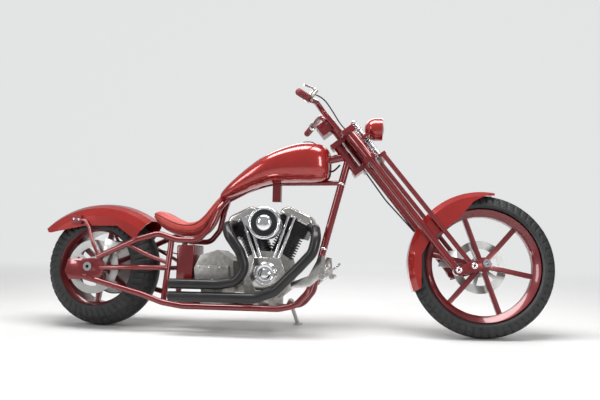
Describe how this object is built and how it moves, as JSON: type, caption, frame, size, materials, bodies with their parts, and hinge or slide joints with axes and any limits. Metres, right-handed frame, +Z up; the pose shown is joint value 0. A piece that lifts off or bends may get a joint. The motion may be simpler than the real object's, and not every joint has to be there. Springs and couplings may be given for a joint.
{
  "type": "springer-fork chopper motorcycle",
  "caption": "Long low custom motorcycle with a raked springer fork, rigid frame, V-twin engine and solo seat, leaning on its side stand.",
  "frame": {"origin": "centre of the bottom of the parked motorcycle's box, on the floor", "axes": "+X forward along the motorcycle, +Y to its left, +Z up from the floor"},
  "size_m": [2.7869, 0.7148, 1.2911],
  "materials": {
    "red_paint": "gloss",
    "black_finish": "satin",
    "polished_metal": "polished",
    "chrome": "polished",
    "brushed_disc": "brushed",
    "black_rubber": "matte",
    "red_grip": "satin",
    "tyre": "matte",
    "seat_leather": "satin",
    "lamp_glass": "clear"
  },
  "bodies": {
    "chassis": {"frame_backbone": "red_paint", "frame_down_tube": "red_paint", "frame_engine_tube": "red_paint", "frame_rail_right": "red_paint", "frame_rail_left": "red_paint", "seat_rail_right": "red_paint", "seat_rail_left": "red_paint", "rear_stay_right": "red_paint", "rear_stay_left": "red_paint", "rear_axle": "chrome", "front_cylinder": "black_finish", "rear_cylinder": "black_finish", "front_rocker_box": "polished_metal", "rear_rocker_box": "polished_metal", "crankcase": "polished_metal", "cam_cover": "polished_metal", "pushrod_tubes": "chrome", "air_cleaner": "chrome", "transmission": "polished_metal", "primary_cover": "polished_metal", "drive_belt": "black_rubber", "rear_exhaust": "black_finish", "front_exhaust": "black_finish", "oil_tank": "red_paint", "fuel_tank": "red_paint", "fuel_cap": "black_rubber", "rear_fender": "red_paint", "seat": "seat_leather", "fender_struts": "red_paint", "rear_caliper": "brushed_disc", "forward_controls": "polished_metal", "stand_bracket": "red_paint"},
    "fork": {"rigid_fork": "red_paint", "upper_tree": "red_paint", "spring_fork": "red_paint", "fork_springs": "chrome", "fork_rockers": "red_paint", "front_axle": "chrome", "front_caliper": "brushed_disc", "handlebar": "red_paint", "hand_grips": "red_grip", "hand_levers": "polished_metal", "headlamp": "red_paint", "headlamp_lens": "lamp_glass", "front_fender": "red_paint", "brake_hose": "black_rubber"},
    "front_wheel": {"front_rim": "red_paint", "front_tyre": "tyre", "front_disc": "brushed_disc"},
    "rear_wheel": {"rear_rim": "red_paint", "rear_tyre": "tyre", "rear_disc": "brushed_disc", "rear_pulley": "brushed_disc"},
    "stand": {"side_stand": "brushed_disc"}
  },
  "joints": [
    {"name": "steering", "type": "hinge", "parent": "chassis", "child": "fork", "pos_m": [0.32195, -0.02579, 0.93473], "axis": [-0.6157, 0.0892, 0.7829], "range_deg": [-38, 22]},
    {"name": "front_wheel_turn", "type": "hinge", "parent": "fork", "child": "front_wheel", "pos_m": [1.02539, -0.06216, 0.36397], "axis": [-0.1097, 0.9742, -0.1972], "continuous": true},
    {"name": "rear_wheel_turn", "type": "hinge", "parent": "chassis", "child": "rear_wheel", "pos_m": [-1.06304, -0.0953, 0.32464], "axis": [0, 0.9936, -0.1132], "continuous": true},
    {"name": "stand_fold", "type": "hinge", "parent": "chassis", "child": "stand", "pos_m": [-0.00303, 0.02785, 0.1335], "axis": [0.1099, 0.9103, 0.3991], "range_deg": [0, 75]}
  ]
}
